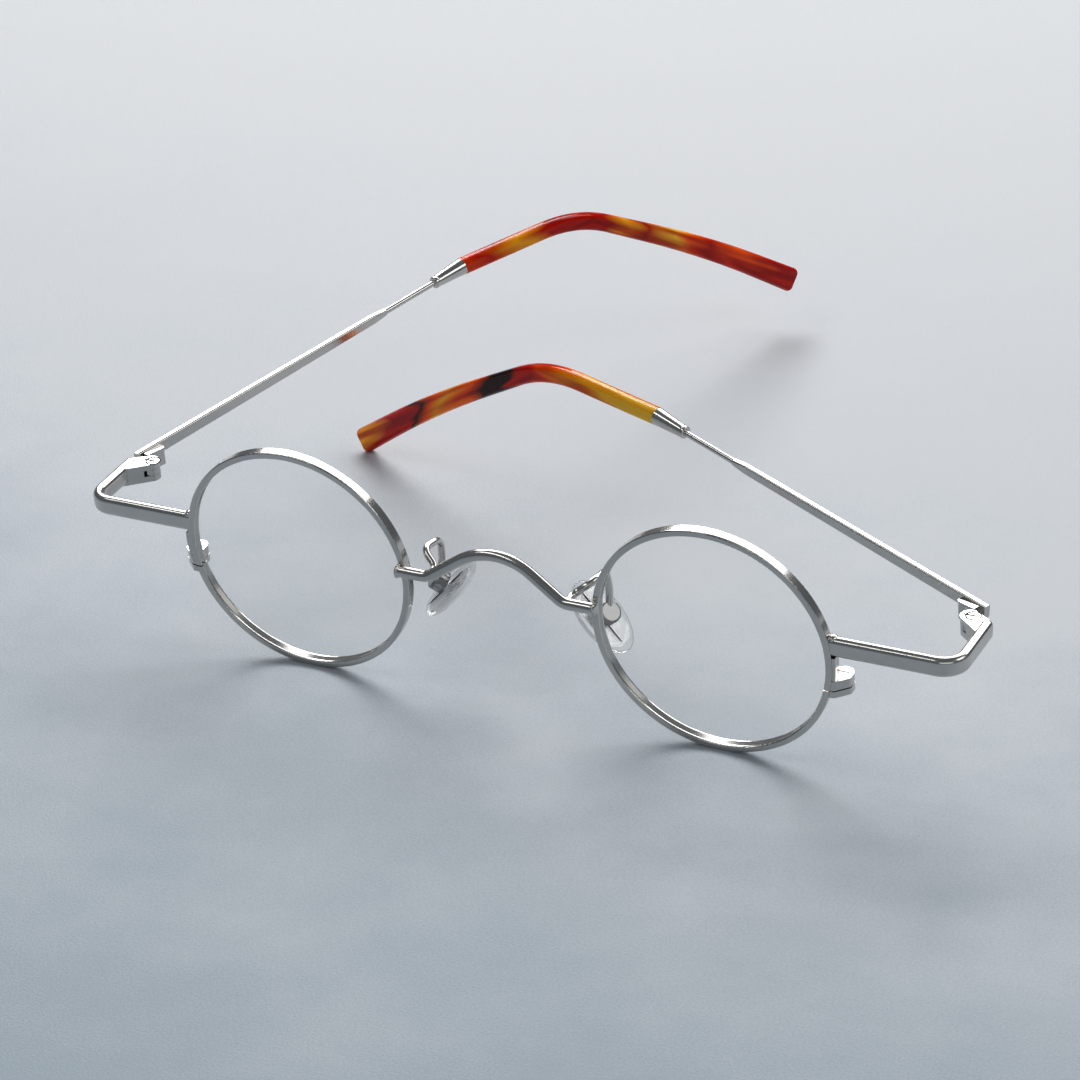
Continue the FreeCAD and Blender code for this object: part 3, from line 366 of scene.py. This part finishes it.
def clear_plastic(name, tint, solid, through, rough, ior):
    """Clear moulded plastic: solid is how much of it stops light, through how much of that is glassy."""
    material, nodes, links, shader = start_material(name)
    wobble = pattern(nodes, links, "ShaderNodeTexNoise", WOBBLE_PER_METRE, Detail=1.0)
    pale = tuple(min(1.0, part * PALE_LIFT) for part in tint)
    colour = ramp(nodes, links, wobble.outputs["Fac"], [(0.3, tint), (0.7, pale)])
    links.new(colour, shader.inputs["Base Color"])
    smudge = pattern(nodes, links, "ShaderNodeTexNoise", SMUDGE_PER_METRE, Detail=4.0)
    gloss = spread(nodes, links, smudge.outputs["Fac"], rough * 0.6, rough * 1.6)
    links.new(gloss, shader.inputs["Roughness"])
    shader.inputs["Alpha"].default_value = solid
    shader.inputs["Transmission Weight"].default_value = through
    shader.inputs["IOR"].default_value = ior
    raise_surface(nodes, links, shader, wobble.outputs["Fac"], WOBBLE_STRENGTH, WOBBLE_HEIGHT)
    return material


lens_plastic = clear_plastic("lens plastic", LENS_TINT, LENS_BODY, through=0.0, rough=0.03, ior=1.5)
for side in ("left", "right"):
    dress("lens_" + side, lens_plastic)

# ------------------------------------------------------------------ nose pads
# Soft clear plastic pads moulded round the steel plate, glossy, with a pale waxy edge.

PAD_TINT = (0.93, 0.935, 0.93)
PAD_BODY = 0.55
pad_plastic = clear_plastic("pad plastic", PAD_TINT, PAD_BODY, through=0.9, rough=0.06, ior=1.3)
for side in ("left", "right"):
    dress("nose_pad_" + side, pad_plastic)

# ------------------------------------------------------------------ temple tips
# Tortoiseshell acetate tips pushed over the temple wires: clear red and amber sheet stock with
# nearly black clouds, cut, bent and polished until wet looking, so no two tips match.

AMBER = (1.0, 0.40, 0.008)
HONEY = (1.0, 0.52, 0.03)
RED = (0.50, 0.006, 0.0)
EMBER = (0.95, 0.10, 0.0)
DARK = (0.02, 0.001, 0.0)
STREAK = (0.55, 0.10, 0.04)
GLOW_DEPTH = 0.0022
ACROSS_SHARE = 0.2
DRIFTS = ((2.6, 0.34), (7.0, 0.16))
STREAKS_ALONG = 3.0
STREAKS_ACROSS = 9.0
STREAK_COVER = 0.9
STREAK_CLIP = (0.45, 0.62)
STRAIGHT_START = 0.25
STRAIGHT_END = 0.5
POLISH_PER_METRE = 900.0
LEFT_CLOUDS = [(0.0, HONEY), (0.20, AMBER), (0.28, EMBER), (0.33, RED), (0.40, RED),
               (0.43, DARK), (0.53, DARK), (0.57, EMBER), (0.67, AMBER), (0.74, EMBER),
               (0.80, DARK), (0.83, RED), (0.93, RED), (1.0, AMBER)]
RIGHT_CLOUDS = [(0.0, EMBER), (0.08, RED), (0.18, AMBER), (0.26, RED), (0.46, RED),
                (0.52, AMBER), (0.58, RED), (0.66, HONEY), (0.71, EMBER), (0.77, RED),
                (0.84, EMBER), (0.90, RED), (1.0, RED)]


def centre_line(node, start, heading, length):
    """Where the tip bends, as a share of its length, and its slope before and after: two straight fits."""
    points = points_of(node) - start
    along = (points[:, 0] * math.cos(heading) + points[:, 1] * math.sin(heading)) / length
    first = np.polyfit(along[along < STRAIGHT_START], points[along < STRAIGHT_START, 2] / length, 1)
    second = np.polyfit(along[along > STRAIGHT_END], points[along > STRAIGHT_END, 2] / length, 1)
    return (second[1] - first[1]) / (first[0] - second[0]), first[0], second[0]


def tortoiseshell(name, start, heading, length, line, clouds):
    """Clouds of colour along the tip: its length runs the ramp, and two slow noises push it to and fro.

    The height is measured from the bent centre line, so that clouds and streaks follow the tip.
    """
    material, nodes, links, shader = start_material(name)
    place = nodes.new("ShaderNodeTexCoord")
    turn = nodes.new("ShaderNodeMapping")
    turn.vector_type = "TEXTURE"
    turn.inputs["Location"].default_value = start
    turn.inputs["Rotation"].default_value = (0.0, 0.0, heading)
    turn.inputs["Scale"].default_value = (length, length * ACROSS_SHARE, length * ACROSS_SHARE)
    links.new(place.outputs["Object"], turn.inputs["Vector"])
    apart = nodes.new("ShaderNodeSeparateXYZ")
    links.new(turn.outputs["Vector"], apart.inputs["Vector"])
    along = apart.outputs["X"]
    bend, before, after = line
    level = apart.outputs["Z"]
    for origin, slope in ((0.0, before), (bend, after - before)):
        past = reckon(nodes, links, "SUBTRACT", along, float(origin))
        kept = reckon(nodes, links, "MAXIMUM", past, 0.0)
        level = reckon(nodes, links, "MULTIPLY_ADD", kept, float(-slope / ACROSS_SHARE), level)
    straight = nodes.new("ShaderNodeCombineXYZ")
    links.new(along, straight.inputs["X"])
    links.new(apart.outputs["Y"], straight.inputs["Y"])
    links.new(level, straight.inputs["Z"])
    for scale, amount in DRIFTS:
        drift = nodes.new("ShaderNodeTexNoise")
        drift.inputs["Scale"].default_value = scale
        drift.inputs["Detail"].default_value = 1.0
        links.new(straight.outputs["Vector"], drift.inputs["Vector"])
        push = reckon(nodes, links, "MULTIPLY_ADD", drift.outputs["Fac"], amount, along)
        along = reckon(nodes, links, "SUBTRACT", push, amount / 2)
    body = ramp(nodes, links, along, clouds)
    comb = nodes.new("ShaderNodeMapping")
    comb.inputs["Scale"].default_value = (STREAKS_ALONG, STREAKS_ACROSS, STREAKS_ACROSS)
    links.new(straight.outputs["Vector"], comb.inputs["Vector"])
    streak = nodes.new("ShaderNodeTexNoise")
    streak.inputs["Scale"].default_value = 1.0
    streak.inputs["Detail"].default_value = 1.0
    links.new(comb.outputs["Vector"], streak.inputs["Vector"])
    veil = nodes.new("ShaderNodeMix")
    veil.data_type = "RGBA"
    veil.blend_type = "MULTIPLY"
    cover = spread(nodes, links, streak.outputs["Fac"], 0.0, STREAK_COVER, STREAK_CLIP)
    links.new(cover, veil.inputs["Factor"])
    links.new(body, veil.inputs["A"])
    veil.inputs["B"].default_value = (*STREAK, 1.0)
    links.new(veil.outputs["Result"], shader.inputs["Base Color"])
    fine = nodes.new("ShaderNodeTexNoise")
    fine.inputs["Scale"].default_value = POLISH_PER_METRE
    links.new(place.outputs["Object"], fine.inputs["Vector"])
    links.new(spread(nodes, links, fine.outputs["Fac"], 0.05, 0.11), shader.inputs["Roughness"])
    shader.inputs["IOR"].default_value = 1.5
    shader.inputs["Specular IOR Level"].default_value = 0.05
    shader.inputs["Subsurface Weight"].default_value = 0.55
    shader.inputs["Subsurface Radius"].default_value = (1.0, 0.30, 0.06)
    shader.inputs["Subsurface Scale"].default_value = GLOW_DEPTH
    shader.inputs["Coat Weight"].default_value = 0.18
    shader.inputs["Coat Roughness"].default_value = 0.05
    return material


for side, across, clouds in (("left", 1.0, LEFT_CLOUDS), ("right", -1.0, RIGHT_CLOUDS)):
    low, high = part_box("temple_tip_" + side)
    run = high - low
    start = (high.x if side == "left" else low.x, low.y, 0.0)
    heading = math.atan2(run.y, -across * run.x)
    length = math.hypot(run.x, run.y)
    line = centre_line("temple_tip_" + side, start, heading, length)
    shell = tortoiseshell("tortoiseshell " + side, start, heading, length, line, clouds)
    dress("temple_tip_" + side, shell)

# ------------------------------------------------------------------ floor
# A plain pale blue-grey table of smooth cast stone: faint clouds, a fine even speckle, and painted shade
# that darkens its colour towards the front and lightens it towards the back. It is much larger than the
# view.

FLOOR_NEAR_SHADED = (0.27, 0.335, 0.39)
FLOOR_PALE = (0.50, 0.53, 0.565)
FLOOR_FAR_LIT = (0.53, 0.545, 0.565)
FLOOR_SHADE_FADE = 2.4
FLOOR_FLECK = 0.35
MOTTLE_PER_METRE = 24.0
FLECKS_PER_METRE = 2600.0
FLECK_STRENGTH = 0.3
FLECK_HEIGHT = 0.00025
FLOOR_SPAN = 6.0
bpy.ops.mesh.primitive_plane_add(size=FLOOR_SPAN, location=(0.0, 0.0, 0.0))
floor = bpy.context.object
floor.name = "floor"
table, nodes, links, shader = start_material("pale table")
mottle = pattern(nodes, links, "ShaderNodeTexNoise", MOTTLE_PER_METRE, Detail=9.0, Roughness=0.62)
apart = nodes.new("ShaderNodeSeparateXYZ")
links.new(nodes["Texture Coordinate"].outputs["Object"], apart.inputs["Vector"])
clouds = spread(nodes, links, mottle.outputs["Fac"], 0.39, 0.61)
# Painted shade: the colour runs darker towards the front and lighter towards the back, for light that falls
# off towards the front.
clouds_and_shade = reckon(nodes, links, "MULTIPLY_ADD", apart.outputs["Y"], FLOOR_SHADE_FADE, clouds)
speckle = pattern(nodes, links, "ShaderNodeTexNoise", FLECKS_PER_METRE, Detail=2.0)
fleck = reckon(nodes, links, "MULTIPLY_ADD", speckle.outputs["Fac"], FLOOR_FLECK, clouds_and_shade)
links.new(ramp(nodes, links, fleck, [(0.25, FLOOR_NEAR_SHADED), (0.67, FLOOR_PALE), (1.0, FLOOR_FAR_LIT)]),
          shader.inputs["Base Color"])
raise_surface(nodes, links, shader, speckle.outputs["Fac"], FLECK_STRENGTH, FLECK_HEIGHT)
shader.inputs["Roughness"].default_value = 0.6
floor.data.materials.append(table)

# ------------------------------------------------------------------ light
# One large soft window behind, on the wearer's right, a long strip above the front, a pale card over
# the wearer's left, a broad wash over the back of the table, a weak fill in front, and dim room light.


def soft_light(name, aim, direction, distance, width, height, watts):
    """A rectangular area light that looks at the aim point from a direction."""
    lamp = bpy.data.lights.new(name, "AREA")
    lamp.shape = "RECTANGLE"
    lamp.size = width
    lamp.size_y = height
    lamp.energy = watts
    holder = bpy.data.objects.new(name, lamp)
    away = Vector(direction).normalized()
    holder.location = Vector(aim) + away * distance
    holder.rotation_euler = away.to_track_quat("Z", "Y").to_euler()
    bpy.context.scene.collection.objects.link(holder)


# name, aim, direction, distance, width, height in metres, watts
LIGHTS = [
    ("window", (0.0, 0.0, 0.02), (-0.42, 0.75, 0.60), 1.3, 0.85, 0.40, 8.5),
    ("front strip", (0.0, -0.05, 0.02), (-0.41, -0.45, 0.80), 1.0, 0.8, 0.14, 1.3),
    ("side card", (0.0, -0.05, 0.02), (0.79, 0.10, 0.60), 0.8, 0.36, 0.3, 0.75),
    ("back wash", (0.0, 0.70, 0.0), (-0.1, 0.35, 1.0), 1.2, 2.4, 0.7, 20.0),
    ("front fill", (0.0, 0.0, 0.02), (0.55, -0.80, 0.30), 1.3, 1.1, 0.5, 1.2),
]
for light in LIGHTS:
    soft_light(*light)
ROOM_COLOUR = (0.86, 0.92, 1.0, 1.0)
ROOM_STRENGTH = 0.14
world = bpy.data.worlds.new("room")
bpy.context.scene.world = world
world.use_nodes = True
world.node_tree.nodes["Background"].inputs["Color"].default_value = ROOM_COLOUR
world.node_tree.nodes["Background"].inputs["Strength"].default_value = ROOM_STRENGTH
bpy.context.scene.view_settings.view_transform = "Standard"

# ------------------------------------------------------------------ camera
# A long lens from the front, above and to the wearer's left, tipped a little.

LENS_LENGTH = 142.6
CAMERA_AIM = (-0.0036, -0.0528, 0.018)
CAMERA_DISTANCE = 0.6267
CAMERA_AZIMUTH = 27.45
CAMERA_ELEVATION = 26.11
CAMERA_ROLL = 2.15

camera_data = bpy.data.cameras.new("camera")
camera_data.lens = LENS_LENGTH
camera_data.sensor_width = 36.0
camera = bpy.data.objects.new("camera", camera_data)
bpy.context.scene.collection.objects.link(camera)
azimuth, elevation = math.radians(CAMERA_AZIMUTH), math.radians(CAMERA_ELEVATION)
back = Vector((math.sin(azimuth) * math.cos(elevation), -math.cos(azimuth) * math.cos(elevation),
               math.sin(elevation)))
upright = Euler((math.pi / 2 - elevation, 0.0, azimuth)).to_matrix()
tipped = upright @ Matrix.Rotation(math.radians(-CAMERA_ROLL), 3, "Z")
camera.matrix_world = Matrix.Translation(Vector(CAMERA_AIM) + back * CAMERA_DISTANCE) @ tipped.to_4x4()
bpy.context.scene.camera = camera
